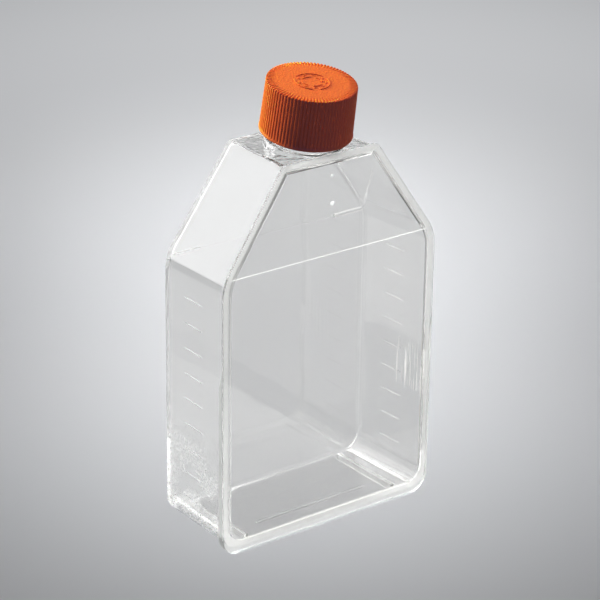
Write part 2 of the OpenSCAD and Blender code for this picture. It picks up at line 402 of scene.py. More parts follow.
# %% Bead
BEAD_LOW = 6.0
LEAST_R = 0.4
BEAD_SECTION = (
    # drawn in past the wall, behind the weld face
    (-0.3, 0.08),
    (1.3, 0.08),
    (1.3, 0.3),
    (0.95, 0.75),
    (0.25, 1.1),
    (-0.3, 1.2),
)
bead = bmesh.new()
loops = []
for more_in, behind in BEAD_SECTION:
    inset = WALL + more_in
    radii = [max(LEAST_R, r - inset) for r in (FLOOR_CORNER_R, SHOULDER_CORNER_R, TOP_CORNER_R)]
    depth = COVER_THICKNESS + WELD_GAP + behind
    corners = tray_outline(COVER_THICKNESS, inset)
    loops.append(ring(bead, corners, radii, lambda z, depth=depth: depth, [COVER_CREASE]))
for one, other in zip(loops, loops[1:] + loops[:1]):
    bmesh.ops.bridge_loops(bead, edges=one + other)
knife(bead, (0, 0, BEAD_LOW), (0, 0, -1))
bmesh.ops.holes_fill(bead, edges=open_edges(bead), sides=0)
face_outwards(bead)
describe("bead", bead)
cut_or_join(tray, bead)
print("tray with its bead:", len(tray.data.polygons), "faces")

# %% [markdown]
# ## Feet, rib and graduations
#
# Small solids stand on the tray's walls: two foot ribs and a fine cross rib under the floor, and
# nine graduations on each side wall that show the volume of medium. They could be drawn with
# a bump map, but in clear plastic a real step catches the light from every side. Each is a cube
# from an operator, sunk a little into its wall, and one exact Boolean joins them all, so no
# hidden faces are left inside the plastic.

# %% Feet and cross rib
FOOT_X = 30.2
FOOT_WIDTH = 1.6
FOOT_FRONT = 4.5
FOOT_TAPER = 0.6
FOOT_ROUND = 0.35
CROSS_RIB_Y = 9.6
CROSS_RIB_LENGTH = 44.0
CROSS_RIB_SIZE = 0.6
SUNK = 0.3


def block(bm, low, high, soften=0.0, only_upright=False):
    """A box from corner to corner, with its edges or its upright edges softened."""
    size = [b - a for a, b in zip(low, high)]
    middle = [(a + b) / 2 for a, b in zip(low, high)]
    place = Matrix.Translation(middle) @ Matrix.Diagonal((*size, 1.0))
    made = bmesh.ops.create_cube(bm, size=1.0, matrix=place)["verts"]
    if soften:
        edges = {e for v in made for e in v.link_edges}
        if only_upright:
            edges = {e for e in edges if abs(e.verts[0].co.z - e.verts[1].co.z) > TOUCH}
        made = bevel(bm, list(edges), soften, 3)["verts"]
        made = list({v for m in made for f in m.link_faces for v in f.verts} | set(made))
    return made


def round_underside(bm, made, middle_x, taper, radius):
    """Narrows a rib that runs from front to back towards its underside, and rounds it there."""
    lowest = min(v.co.z for v in made)
    under = [v for v in made if v.co.z < lowest + TOUCH]
    for vert in under:
        vert.co.x = middle_x + (vert.co.x - middle_x) * taper
    lower = {e for v in under for e in v.link_edges if all(p in under for p in e.verts)}
    length = max(e.calc_length() for e in lower)
    bevel(bm, [e for e in lower if e.calc_length() > length / 2], radius, 6)


details = bmesh.new()
for side in (-1, 1):
    x = side * FOOT_X
    rib = block(
        details,
        (x - FOOT_WIDTH / 2, FRONT_Y + FOOT_FRONT, 0.0),
        (x + FOOT_WIDTH / 2, FRONT_Y + FLASK_DEPTH - BACK_EDGE_R, FOOT_HEIGHT + SUNK),
    )
    round_underside(details, rib, x, FOOT_TAPER, FOOT_ROUND)
rib_y = FRONT_Y + CROSS_RIB_Y
block(
    details,
    (-CROSS_RIB_LENGTH / 2, rib_y - CROSS_RIB_SIZE / 2, FOOT_HEIGHT - CROSS_RIB_SIZE),
    (CROSS_RIB_LENGTH / 2, rib_y + CROSS_RIB_SIZE / 2, FOOT_HEIGHT + SUNK),
    soften=0.2,
    only_upright=True,
)
describe("feet and rib", details)

# %% Graduations
MARK_STEP = 8.65
MARK_COUNT = 9
MARK_LENGTH = 9.0
MARK_WIDTH = 0.5
MARK_PROUD = 0.16
MARK_FRONT = 13.5


def side_x(depth):
    """The side wall's outer face, below the shoulders."""
    return FLASK_WIDTH / 2 - RIM_OVERHANG - SIDE_DRAFT * depth / FLASK_DEPTH


lean = math.atan(SIDE_DRAFT / FLASK_DEPTH)
for side in (-1, 1):
    for count in range(1, MARK_COUNT + 1):
        z = FOOT_HEIGHT + WALL + count * MARK_STEP
        made = block(
            details,
            (-SUNK, 0.0, z - MARK_WIDTH / 2),
            (MARK_PROUD, MARK_LENGTH, z + MARK_WIDTH / 2),
            soften=0.15,
        )
        turn = Matrix.Rotation(lean, 4, "Z")
        place = Matrix.Translation((side_x(MARK_FRONT), FRONT_Y + MARK_FRONT, 0.0))
        bmesh.ops.transform(details, matrix=place @ turn, verts=made)
        if side < 0:
            bmesh.ops.scale(details, vec=(-1, 1, 1), verts=made)
            bmesh.ops.reverse_faces(details, faces=list({f for v in made for f in v.link_faces}))
describe("with graduations", details)

# %% [markdown]
# ## The crease of the growth face
#
# Where the growth face starts to lean in, its inner side has a low round bar near each corner,
# and a hair line between them. Bars like these keep stacked flasks from sliding. A round bar in
# clear plastic is a rod lens: it shows as a white double line. It is a thin cylinder laid along
# the crease and half sunk in the wall. Here the hair line is one too, and very thin. The upper
# and lower edge of the right-hand bar are also painted white with the weld's material, a
# painted highlight.

# %% Bars along the crease
BAR_FROM = 26.0
BAR_TO = 38.2
BAR_R = 0.7
BAR_SUNK = 0.12
HAIR_R = 0.13
HAIR_SUNK = 0.05
HAIR_GAP = 0.2
ROD_SIDES = 16


def bar(bm, x_from, x_to, radius, depth, z):
    """A round rod along X with rounded ends, at a depth and a height."""
    place = Matrix.Translation(((x_from + x_to) / 2, FRONT_Y + depth, z))
    made = bmesh.ops.create_cone(
        bm,
        cap_ends=True,
        segments=ROD_SIDES,
        radius1=radius,
        radius2=radius,
        depth=abs(x_to - x_from),
        matrix=place @ Matrix.Rotation(math.pi / 2, 4, "Y"),
    )["verts"]
    ends = [f for f in {f for v in made for f in v.link_faces} if len(f.verts) > 4]
    bevel(bm, list({e for f in ends for e in f.edges}), radius * 0.5, 2)


inner_growth_face = FLASK_DEPTH - WALL
for side in (-1, 1):
    ends = (side * BAR_FROM, side * BAR_TO)
    bar(details, *ends, BAR_R, inner_growth_face + BAR_SUNK, GROWTH_CREASE)
ends = (HAIR_GAP - BAR_FROM, BAR_FROM - HAIR_GAP)
bar(details, *ends, HAIR_R, inner_growth_face + HAIR_SUNK, GROWTH_CREASE)
cut_or_join(tray, details)
print("tray with details:", len(tray.data.polygons), "faces")

# %% [markdown]
# ## The neck
#
# The neck is a round tube that leans 9.8 degrees towards the cover, so that a pipette reaches
# the growth face. Its profile is drawn once and spun: a collar with a soft upper edge, the plain
# wall, and a rounded lip. It is spun as a full solid, joined to the tray, and then the bore is
# cut through both, so the way in is one clean hole.

# %% Neck profile and spin
NECK_TILT = 9.8
NECK_DEPTH = 15.3
NECK_BORE_R = 10.0
NECK_R = NECK_BORE_R + 1.6
COLLAR_HEIGHT = 2.4
COLLAR_R = NECK_R + 1.3
CAP_STANDOFF = 4.7
CAP_HEIGHT = 16.9
CAP_TOP = 1.4
SEAL_THICKNESS = 1.2
SEAL_PLAY = 0.05
NECK_LENGTH = CAP_STANDOFF + CAP_HEIGHT - CAP_TOP - SEAL_THICKNESS - SEAL_PLAY
NECK_ROOT = -6.0
TRAY_TOP = BODY_HEIGHT - RIM_OVERHANG
NECK_SEGMENTS = 128
on_neck = Matrix.Translation((0.0, FRONT_Y + NECK_DEPTH, TRAY_TOP)) @ Matrix.Rotation(
    math.radians(NECK_TILT), 4, "X"
)


def spun(bm, profile, segments, soft=()):
    """Spins a profile of radius and height round the Z axis; soft gives bevels by point."""
    points = [bm.verts.new((r, 0.0, z)) for r, z in profile]
    for pair in zip(points, points[1:]):
        bm.edges.new(pair)
    for index, size, steps in soft:
        bevel(bm, [points[index]], size, steps, affect="VERTICES")
    wire = [v for v in bm.verts if not v.link_faces] + [e for e in bm.edges if e.is_wire]
    sweep_round(bm, wire, 2 * math.pi, segments, use_merge=True, use_duplicate=False)
    bmesh.ops.remove_doubles(bm, verts=bm.verts, dist=SEAM)
    face_outwards(bm)


neck = bmesh.new()
spun(
    neck,
    [
        (0.0, NECK_ROOT),
        (COLLAR_R, NECK_ROOT),
        (COLLAR_R, COLLAR_HEIGHT),
        (NECK_R, COLLAR_HEIGHT),
        (NECK_R, NECK_LENGTH),
        (0.0, NECK_LENGTH),
    ],
    NECK_SEGMENTS,
    soft=[(2, 0.5, 4), (3, 0.4, 4), (4, 0.35, 4)],
)
move(neck, on_neck)
buried = knife(neck, (0, 0, TRAY_TOP - WALL / 2), (0, 0, -1))
bmesh.ops.contextual_create(neck, geom=buried)
weld_y = FRONT_Y + COVER_THICKNESS + WELD_GAP
against_cover = knife(neck, (0, weld_y, COVER_CREASE), (0, -1, COVER_SLOPE))
if against_cover:
    bmesh.ops.contextual_create(neck, geom=against_cover)
face_outwards(neck)
describe("neck solid", neck)
cut_or_join(tray, neck)

# %% [markdown]
# ## The thread
#
# The thread is a ridge that climbs one and a half turns round the neck. `spin` takes a step
# along its axis as well as round it, so a four-cornered profile swept by one spin is already
# a helix. Its crest sinks back into the wall over the first and last few degrees, as a moulded
# thread does, and the ends are closed.

# %% A thread by one spin
THREAD_PITCH = 3.2
THREAD_TURNS = 1.5
THREAD_HEIGHT = 1.0
THREAD_ROOT = 1.6
THREAD_CREST = 0.7
THREAD_DROP = 2.2
THREAD_FADE = 22.5
THREAD_TIP = 0.1
THREAD_STEPS = 144
THREAD_START = NECK_LENGTH - THREAD_DROP - THREAD_PITCH * THREAD_TURNS


def thread(wall_r, way, start):
    """A closed helical ridge on a round wall; way is 1 outwards and -1 inwards."""
    bm = bmesh.new()
    root_r = wall_r - way * SUNK
    crest_r = wall_r + way * THREAD_HEIGHT
    corners = [
        (root_r, -THREAD_ROOT / 2),
        (crest_r, -THREAD_CREST / 2),
        (crest_r, THREAD_CREST / 2),
        (root_r, THREAD_ROOT / 2),
    ]
    wire = closed_loop(bm, [(r, start + z) for r, z in corners])
    climb = (0, 0, THREAD_PITCH * THREAD_TURNS / THREAD_STEPS)
    angle = 2 * math.pi * THREAD_TURNS
    sweep_round(bm, wire, angle, THREAD_STEPS, dvec=climb, use_duplicate=False)
    bmesh.ops.holes_fill(bm, edges=open_edges(bm), sides=4)
    for vert in bm.verts:
        turn = math.degrees(math.atan2(vert.co.y, vert.co.x))
        climbed = 360 * (vert.co.z - start) / THREAD_PITCH
        swept = turn + 360 * round((climbed - turn) / 360)
        share = min(1.0, swept / THREAD_FADE, (360 * THREAD_TURNS - swept) / THREAD_FADE)
        radius = math.hypot(vert.co.x, vert.co.y)
        sunk = root_r + (radius - root_r) * max(share, THREAD_TIP)
        vert.co.xy *= sunk / radius
    face_outwards(bm)
    return bm


neck_thread = thread(NECK_R, 1, THREAD_START)
move(neck_thread, on_neck)
describe("thread", neck_thread)
cut_or_join(tray, neck_thread)

# %% The bore, cut through the neck and the tray's top
BORE_LOW = -8.0
BORE_HIGH = 30.0
bore = bmesh.new()
spun(
    bore,
    [(0.0, BORE_LOW), (NECK_BORE_R, BORE_LOW), (NECK_BORE_R, BORE_HIGH), (0.0, BORE_HIGH)],
    NECK_SEGMENTS,
)
move(bore, on_neck)
cut_or_join(tray, bore, "DIFFERENCE")


def volume(obj):
    bm = bmesh.new()
    bm.from_mesh(obj.data)
    size = bm.calc_volume()
    bm.free()
    return size


print("tray:", round(volume(tray)), "cubic mm of plastic,", len(tray.data.polygons), "faces")

# %% [markdown]
# ## The cover
#
# The cover is a flat plate, 1 mm thick, whose rim stands out past the tray's walls. On the lower
# half of the rim a lip wraps the tray's edge, and it runs out to nothing at mid height. The
# plate is built as three nested outlines: the rim at the front, the same rim at the lip's back
# edge, and the tray's outline inside the lip. Knife cuts give the side walls the points that
# the lip's curve needs, and each point then moves to the lip's depth at its own height.

# %% The cover's rings
RIM_CORNER_R = 6.5
LIP_DEPTH = 2.9
LIP_LOW = 56.0
LIP_RUNOUT = 10.0
LIP_STEPS = 8
RIM_EDGE_R = 0.35


def eased(value, low, high):
    """0 below low, 1 above high, and a soft S between them."""
    share = min(1.0, max(0.0, (value - low) / (high - low)))
    return share * share * (3 - 2 * share)


def lip_at(z):
    """Depth of the lip behind the cover's face at a height."""
    gone = eased(z, LIP_LOW, LIP_LOW + LIP_RUNOUT)
    return LIP_DEPTH + (COVER_THICKNESS - LIP_DEPTH) * gone


def cover_ring(bm, round_tray, depth_at):
    """One of the cover's four outlines, the rim's or the one that fits round the tray."""
    corners = tray_outline(COVER_THICKNESS, -WELD_GAP) if round_tray else outline(0, 0, 0, 0)
    floor_r = FLOOR_CORNER_R if round_tray else RIM_CORNER_R
    radii = (floor_r, SHOULDER_CORNER_R, TOP_CORNER_R)
    levels = [LIP_LOW + LIP_RUNOUT * i / LIP_STEPS for i in range(LIP_STEPS + 1)]
    return ring(bm, corners, radii, depth_at, levels + [COVER_CREASE])


plate = bmesh.new()
face_ring = cover_ring(plate, False, lambda z: 0.0)
lip_outer = cover_ring(plate, False, lip_at)
lip_inner = cover_ring(plate, True, lip_at)
back_ring = cover_ring(plate, True, lambda z: COVER_THICKNESS)
rings = [face_ring, lip_outer, lip_inner, back_ring]
for one, other in zip(rings, rings[1:]):
    bmesh.ops.bridge_loops(plate, edges=one + other)
panel_with_crease(plate, face_ring, COVER_CREASE)
panel_with_crease(plate, back_ring, COVER_CREASE)
face_outwards(plate)
bevel(plate, face_ring + lip_outer, RIM_EDGE_R, 3)
bmesh.ops.remove_doubles(plate, verts=plate.verts, dist=SEAM)
face_outwards(plate)
describe("cover", plate)
cover = bare_object(plate, "cover")

# %% [markdown]
# ## Marks on the cover
#
# Two things stand on the plate. The fold at the shoulders has a fine rounded line on its inner
# side, which shows as one thin white stroke, a painted highlight given by the weld's white
# material, and plastic that was let in from the front has left two small round gate marks.

# %% The crease line and the gate marks
LINE_HALF = 39.0
LINE_R = 0.2
LINE_DEPTH = COVER_THICKNESS + 0.06
GATE_MARKS = ((119.8, 0.45), (110.8, 0.75))
GATE_FLATNESS = 0.4

crease_line = bmesh.new()
bar(crease_line, -LINE_HALF, LINE_HALF, LINE_R, LINE_DEPTH, COVER_CREASE)
cut_or_join(cover, crease_line)
for z, radius in GATE_MARKS:
    mark = bmesh.new()
    place = Matrix.Translation((0.0, FRONT_Y + cover_shift(z), z))
    flatten = Matrix.Diagonal((1.0, GATE_FLATNESS, 1.0, 1.0))
    bmesh.ops.create_uvsphere(
        mark, u_segments=20, v_segments=10, radius=radius, matrix=place @ flatten
    )
    cut_or_join(cover, mark)
print("cover:", round(volume(cover)), "cubic mm of plastic,", len(cover.data.polygons), "faces")

# %% [markdown]
# ## The cap
#
# The cap's wall is spun from one profile that goes from the middle of its inside to the middle
# of its top. The grip ribs could be eighty copies of one rib, but then each seam has to meet
# the next. It is simpler to spin the wall with eight steps to a rib, and to press the grooves
# in afterwards: every point near a groove's middle moves towards the axis, and near the rim of
# the top it moves down, which makes the short notches that run in over the top.

# %% The cap's wall
THREAD_R = NECK_R + THREAD_HEIGHT
CAP_BORE_R = THREAD_R + 0.3
GROOVE_DEPTH = 0.24
CAP_CROWN_R = CAP_BORE_R + 1.4
CAP_BASE_R = CAP_CROWN_R + 0.4
BAND_R = CAP_BASE_R + 0.1
BAND_HEIGHT = 0.7
CAP_EDGE = 0.4
RIB_COUNT = 80
STEPS_TO_A_RIB = 8
GROOVE_HALF = 0.34
NOTCH_REACH = 3.2
NOTCH_DEPTH = 0.32
LEAD_IN = 0.35
WALL_LEVELS = (BAND_HEIGHT + 0.1, 1.1, 1.5, 8.0, 15.3, 15.9)
NOTCH_RINGS = (1.0, 1.8, 2.6, NOTCH_REACH, NOTCH_REACH + 0.4)


def skirt_r(z):
    """The skirt's radius over the ribs, which narrows towards the top."""
    return CAP_BASE_R + (CAP_CROWN_R - CAP_BASE_R) * z / (CAP_HEIGHT - CAP_EDGE)


cap_shell = bmesh.new()
inside_top = CAP_HEIGHT - CAP_TOP
rim_z = CAP_HEIGHT - CAP_EDGE
wall_profile = [
    (0.0, inside_top),
    (CAP_BORE_R, inside_top),
    (CAP_BORE_R, 0.5),
    (CAP_BORE_R + LEAD_IN, 0.0),
    (BAND_R, 0.0),
    (BAND_R, BAND_HEIGHT),
]
wall_profile += [(skirt_r(z), z) for z in (*WALL_LEVELS, rim_z)]
wall_profile += [(CAP_CROWN_R - 0.12, rim_z + 0.28), (CAP_CROWN_R - CAP_EDGE, CAP_HEIGHT)]
wall_profile += [(CAP_CROWN_R - reach, CAP_HEIGHT) for reach in NOTCH_RINGS] + [(0.0, CAP_HEIGHT)]
spun(cap_shell, wall_profile, RIB_COUNT * STEPS_TO_A_RIB, soft=[(4, 0.25, 3), (5, 0.2, 2)])
describe("cap wall", cap_shell)


# %% Press the grooves and notches
def groove_share(point):
    """1 in the middle of a groove and 0 on the ribs, by the angle round the cap."""
    pitch = 2 * math.pi / RIB_COUNT
    turn = math.atan2(point.y, point.x) / pitch + 0.5
    away = abs(turn - round(turn)) * pitch * CAP_CROWN_R
    return 0.5 + 0.5 * math.cos(math.pi * min(1.0, away / GROOVE_HALF))


for vert in cap_shell.verts:
    radius = math.hypot(vert.co.x, vert.co.y)
    notch_end = CAP_CROWN_R - NOTCH_REACH
    if radius < notch_end - 0.1 or vert.co.z < BAND_HEIGHT + 0.05:
        continue
    share = groove_share(vert.co)
    if vert.co.z > rim_z - 0.1:
        vert.co.z -= NOTCH_DEPTH * share * eased(radius, notch_end, CAP_CROWN_R - 1)
    if radius > CAP_CROWN_R - 0.5:
        deep = GROOVE_DEPTH * share * eased(vert.co.z, BAND_HEIGHT, 2 * BAND_HEIGHT)
        vert.co.xy *= (radius - deep) / radius
face_outwards(cap_shell)

# %% [markdown]
# ## Raised marks on the cap
#
# The middle of the cap's top carries low raised rings. Here they are plain broken rings and
# dots of no particular meaning. Each is a small rectangle spun through part of a turn, closed
# at its ends and softened all round.

# %% Broken rings
RINGS = (
    # radius, line, first angle, step to the next arc, sweep of an arc, height
    (5.7, 0.5, 20, 120, 96, 0.25),
    (3.42, 0.5, -30, 90, 58, 0.25),
    (4.6, 0.55, 0, 40, 14, 0.2),
)
RING_SOFT = 0.1


def raised_arc(bm, radius, line, start, sweep, proud):
    """A low ridge that follows part of a circle on the cap's top; angles in degrees."""
    part = bmesh.new()
    low = CAP_HEIGHT - SUNK
    high = CAP_HEIGHT + proud
    corners = [(radius - line, low), (radius, low), (radius, high), (radius - line, high)]
    wire = closed_loop(part, corners)
    sweep_round(part, wire, math.radians(sweep), max(3, round(sweep / 4)))
    bmesh.ops.holes_fill(part, edges=open_edges(part), sides=4)
    face_outwards(part)
    upper = [e for e in part.edges if min(v.co.z for v in e.verts) > CAP_HEIGHT]
    outline_edges = [e for e in upper if e.calc_face_angle(0.0) > 1.0]
    bevel(part, outline_edges, RING_SOFT, 2)
    bmesh.ops.rotate(part, verts=part.verts, matrix=Matrix.Rotation(math.radians(start), 3, "Z"))
    pour(part, bm)


for radius, line, first, step, sweep, proud in RINGS:
    for start in range(first, first + 360, step):
        raised_arc(cap_shell, radius, line, start, sweep, proud)
describe("cap with its rings", cap_shell)

# %% The cap's own thread, and the cap's place on the neck
cap_thread = thread(CAP_BORE_R, -1, THREAD_START - CAP_STANDOFF - THREAD_PITCH / 2)
pour(cap_thread, cap_shell)
on_cap = on_neck @ Matrix.Translation((0, 0, CAP_STANDOFF))
move(cap_shell, on_cap)
describe("cap with its thread", cap_shell)
cap = bare_object(cap_shell, "cap")

# %% [markdown]
# ## The seal disc
#
# A soft white disc lies inside the cap's top and closes the neck's lip. It is only seen when
# the cap is lifted, but it gets its rounded edges and a band of its own where the lip bears.

# %% Seal disc
SEAL_R = CAP_BORE_R - 0.5
LIP_MARGIN = 0.2
on_lip = on_neck @ Matrix.Translation((0, 0, NECK_LENGTH))
seal_mesh = bmesh.new()
spun(
    seal_mesh,
    [
        (0.0, 0.0),
        (NECK_BORE_R - LIP_MARGIN, 0.0),
        (NECK_R + LIP_MARGIN, 0.0),
        (SEAL_R, 0.0),
        (SEAL_R, SEAL_THICKNESS),
        (0.0, SEAL_THICKNESS),
    ],
    NECK_SEGMENTS,
    soft=[(3, 0.2, 3), (4, 0.2, 3)],
)
move(seal_mesh, on_lip)
seal = bare_object(seal_mesh, "seal")
print("seal:", len(seal.data.polygons), "faces")

# %% [markdown]
# ## Materials
#
# Clear polystyrene bends light strongly, with an index of 1.59, and it is never perfectly
# clean. A pale base colour, full transmission and a low roughness give the plastic, and one
# shared node group gives the marks of moulding and handling. It puts out a roughness and a
# height: smudges everywhere, a speckled patch low on the left wall, upright scuffs on the right
# wall, haze in the right floor corner, ripples round the neck's root, and a faint waviness that
# makes mirrored lines tremble. Every limit in it is a place on the flask, in metres.

# %% Node helpers
def node(tree, kind, x, y, **settings):
    made = tree.nodes.new(kind)
    made.location = (x, y)
    for key, value in settings.items():
        setattr(made, key, value)
    return made


def dial(made, values):
    """Sets a node's inputs by their names."""
    for label, value in values.items():
        made.inputs[label].default_value = value


def new_group(name, **inputs):
    """A shader node group that puts out a roughness and a height, with its main sockets."""
    group = bpy.data.node_groups.new(name, "ShaderNodeTree")
    for label, value in inputs.items():
        socket = group.interface.new_socket(label, in_out="INPUT", socket_type="NodeSocketFloat")
        socket.default_value = value
    for label in ("Roughness", "Height"):
        group.interface.new_socket(label, in_out="OUTPUT", socket_type="NodeSocketFloat")
    start = node(group, "NodeGroupInput", -900, 0).outputs
    end = node(group, "NodeGroupOutput", 700, 0).inputs
    place = node(group, "ShaderNodeTexCoord", -900, -300).outputs["Object"]
    return group, start, end, place


def calculate(tree, operation, x, y, first, *others):
    """Math nodes in a row; each works on the last result and the next socket or number."""
    for step, other in enumerate(others):
        made = node(tree, "ShaderNodeMath", x + 100 * step, y, operation=operation)
        for socket, value in zip(made.inputs, (first, other)):
            if isinstance(value, (int, float)):
                socket.default_value = value
            else:
                tree.links.new(value, socket)
        first = made.outputs[0]
    return first


def noise(tree, x, y, vector, scale, detail=2.0):
    made = node(tree, "ShaderNodeTexNoise", x, y)
    dial(made, {"Scale": scale, "Detail": detail})
    tree.links.new(vector, made.inputs["Vector"])
    return made.outputs["Fac"]


def ramp(tree, x, y, source, low, high):
    """A soft step: 0 where the source is at low, 1 where it is at high."""
    made = node(tree, "ShaderNodeMapRange", x, y, interpolation_type="SMOOTHSTEP")
    dial(made, {"From Min": low, "From Max": high})
    tree.links.new(source, made.inputs["Value"])
    return made.outputs["Result"]


# %% Marks of handling on clear plastic
LEFT_WALL = (-0.0375, -0.0380)
RIGHT_WALL = (0.0375, 0.0380)
SCUFF_HEIGHT = 0.043
SCUFF_STRETCH = (1.0, 1.0, 0.06)
SPECKLE_SHARE = 0.6
HAZE_SHARE = 0.25
GRAIN_HEIGHT = 0.6
RIPPLE_HEIGHT = 4.0


def handling_group():
    group, start, end, place = new_group("handling marks", Smudge=0.05, Speckle=0.2, Waviness=1.0)
    split = node(group, "ShaderNodeSeparateXYZ", -900, -500)
    group.links.new(place, split.inputs[0])
    x, y, z = split.outputs

    smudge = ramp(group, -400, 300, noise(group, -600, 300, place, 60, 3.0), 0.45, 0.75)
    smudge = calculate(group, "MULTIPLY", -200, 300, smudge, start["Smudge"])

    grains = ramp(group, -400, 0, noise(group, -600, 0, place, 1700, 1.0), 0.52, 0.64)
    low_down = ramp(group, -400, -150, z, 0.055, 0.012)
    left_wall = ramp(group, -400, -300, x, *LEFT_WALL)
    patch = ramp(group, -400, -450, noise(group, -600, -450, place, 90), 0.34, 0.56)
    off_floor = ramp(group, -400, -600, z, 0.004, 0.007)
    where = (low_down, left_wall, patch, off_floor, SPECKLE_SHARE)
    speckle = calculate(group, "MULTIPLY", -200, -100, grains, start["Speckle"], *where)

    stretched = node(group, "ShaderNodeMapping", -900, -1200)
    dial(stretched, {"Scale": SCUFF_STRETCH})
    group.links.new(place, stretched.inputs["Vector"])
    lines = noise(group, -600, -1200, stretched.outputs["Vector"], 900)
    lines = ramp(group, -400, -1200, lines, 0.52, 0.66)
    away = calculate(group, "SUBTRACT", -700, -1400, z, SCUFF_HEIGHT)
    away = calculate(group, "ABSOLUTE", -600, -1400, away, 0.0)
    band = ramp(group, -400, -1400, away, 0.011, 0.004)
    near_cover = ramp(group, -400, -1600, y, 0.002, -0.003)
    right_wall = ramp(group, -400, -1750, x, *RIGHT_WALL)
    where = (band, near_cover, right_wall, start["Speckle"])
    scuffs = calculate(group, "MULTIPLY", -200, -1200, lines, *where)
    marks = calculate(group, "ADD", 400, -600, speckle, scuffs)

    corner = ramp(group, -400, -1900, x, 0.0340, 0.0350)
    near_floor = ramp(group, -400, -2050, z, 0.0048, 0.0038)
    haze = calculate(
        group, "MULTIPLY", -200, -1900, corner, near_floor, start["Speckle"], HAZE_SHARE
    )
    rough = calculate(group, "ADD", 500, 200, smudge, marks, haze)
    group.links.new(rough, end["Roughness"])

    waves = noise(group, -600, -900, place, 45, 1.0)
    waves = calculate(group, "MULTIPLY", -200, -900, waves, start["Waviness"])
    grain_height = calculate(group, "MULTIPLY", 500, -700, marks, GRAIN_HEIGHT)
    above_top = ramp(group, -400, -2200, z, 0.1235, 0.1255)
    below_thread = ramp(group, -400, -2350, z, 0.1300, 0.1285)
    ripples = noise(group, -600, -2500, place, 300)
    where = (above_top, below_thread, RIPPLE_HEIGHT)
    ripples = calculate(group, "MULTIPLY", -200, -2300, ripples, *where)
    height = calculate(group, "ADD", 600, -400, waves, grain_height, ripples)
    group.links.new(height, end["Height"])
    return group


handling = handling_group()
print("handling marks:", len(handling.nodes), "nodes")


# %% Material helpers
def new_material(name, colour, values):
    """A material with one colour and named shader values, with its node tree and shader."""
    material = bpy.data.materials.new(name)
    material.use_nodes = True
    tree = material.node_tree
    shader = tree.nodes["Principled BSDF"]
    dial(shader, {"Base Color": (*colour, 1.0), **values})
    print("material:", name)
    return material, tree, shader


def shared(tree, group, values):
    """Puts a shared group in a material, sets its values and returns its outputs."""
    made = node(tree, "ShaderNodeGroup", -500, 0, node_tree=group)
    dial(made, values)
    return made.outputs


def relief(tree, shader, height, distance):
    """Lets a height bend the shader's normal."""
    bump = node(tree, "ShaderNodeBump", -250, -300)
    dial(bump, {"Distance": distance})
    tree.links.new(height, bump.inputs["Height"])
    tree.links.new(bump.outputs["Normal"], shader.inputs["Normal"])


def let_lamps_through(tree, shader, tint):
    """Mixes the glass with a clear shader for the rays that only ask about shadow."""
    clear = node(tree, "ShaderNodeBsdfTransparent", 100, -300)
    dial(clear, {"Color": (*tint, 1.0)})
    rays = node(tree, "ShaderNodeLightPath", 100, 300)
    mix = node(tree, "ShaderNodeMixShader", 350, 0)
    tree.links.new(rays.outputs["Is Shadow Ray"], mix.inputs["Fac"])
    tree.links.new(shader.outputs["BSDF"], mix.inputs[1])
    tree.links.new(clear.outputs["BSDF"], mix.inputs[2])
    tree.links.new(mix.outputs["Shader"], tree.nodes["Material Output"].inputs["Surface"])


# %% Clear plastic
POLYSTYRENE_IOR = 1.59
CLEAR_TINT = (1.0, 0.998, 0.988)
WAVINESS = 2.0
WAVE_HEIGHT = 0.00008


def clear_plastic(name, smudge, speckle):
    """Clear polystyrene; lamps shine through it, so it throws no hard dark shadow."""
    glass = {"Transmission Weight": 1.0, "IOR": POLYSTYRENE_IOR, "Metallic": 0.0}
    material, tree, shader = new_material(name, CLEAR_TINT, glass)
    values = {"Smudge": smudge, "Speckle": speckle, "Waviness": WAVINESS}
    marks = shared(tree, handling, values)
    tree.links.new(marks["Roughness"], shader.inputs["Roughness"])
    relief(tree, shader, marks["Height"], WAVE_HEIGHT)
    let_lamps_through(tree, shader, CLEAR_TINT)
    return material


tray_plastic = clear_plastic("tray_plastic", 0.05, 0.9)
cover_plastic = clear_plastic("cover_plastic", 0.03, 0.1)

# %% [markdown]
# ## The frosted weld and painted highlights
#
# The cover is welded to the tray with ultrasound. Where the two parts were rubbed together the
# plastic is no longer clear, but milky with tiny bubbles. That is why such a flask has a bright
# white frame. The weld is not a piece of its own: it is a second material, white and rough, that
# lets some light through. It is on the tray's narrow weld face, on the back of the cover's rim and
# on the inside of its lip. The gate marks have it as well. On the underside of the cover's rim,
# on the crease line, and on the upper and lower edge of the bar on the right the same white is a
# painted highlight: it stands in for the white strokes that light draws there.

# %% Frosted weld and painted highlights
# The weld's white; on the crease line, the rim's underside and the right-hand bar it is a painted
# highlight.
WELD_AND_HIGHLIGHT_WHITE = (0.95, 0.96, 0.96)
WELD_ROUGHNESS = 0.3
WELD_CLEARNESS = 0.4
milky = {"Transmission Weight": WELD_CLEARNESS, "IOR": POLYSTYRENE_IOR}
weld, weld_tree, weld_shader = new_material("weld", WELD_AND_HIGHLIGHT_WHITE, milky)
marks = shared(weld_tree, handling, {"Smudge": 0.3, "Speckle": 0.0})
rough = calculate(weld_tree, "ADD", -250, 0, marks["Roughness"], WELD_ROUGHNESS)
weld_tree.links.new(rough, weld_shader.inputs["Roughness"])
let_lamps_through(weld_tree, weld_shader, WELD_AND_HIGHLIGHT_WHITE)

# %% Which faces are frosted, and which get a painted highlight
FACING = 0.9
SIDEWAYS = 0.5
BAR_EDGE = 0.8
SAME_DEPTH = 0.04
SLACK = 0.1
LINE_REACH = 0.35
MARK_REACH = 1.0
LARGEST_RIM = 400.0


def behind_cover(point):
    """How far a point lies behind the cover's face, which leans back at the top."""
    return point.y - FRONT_Y - cover_shift(point.z)


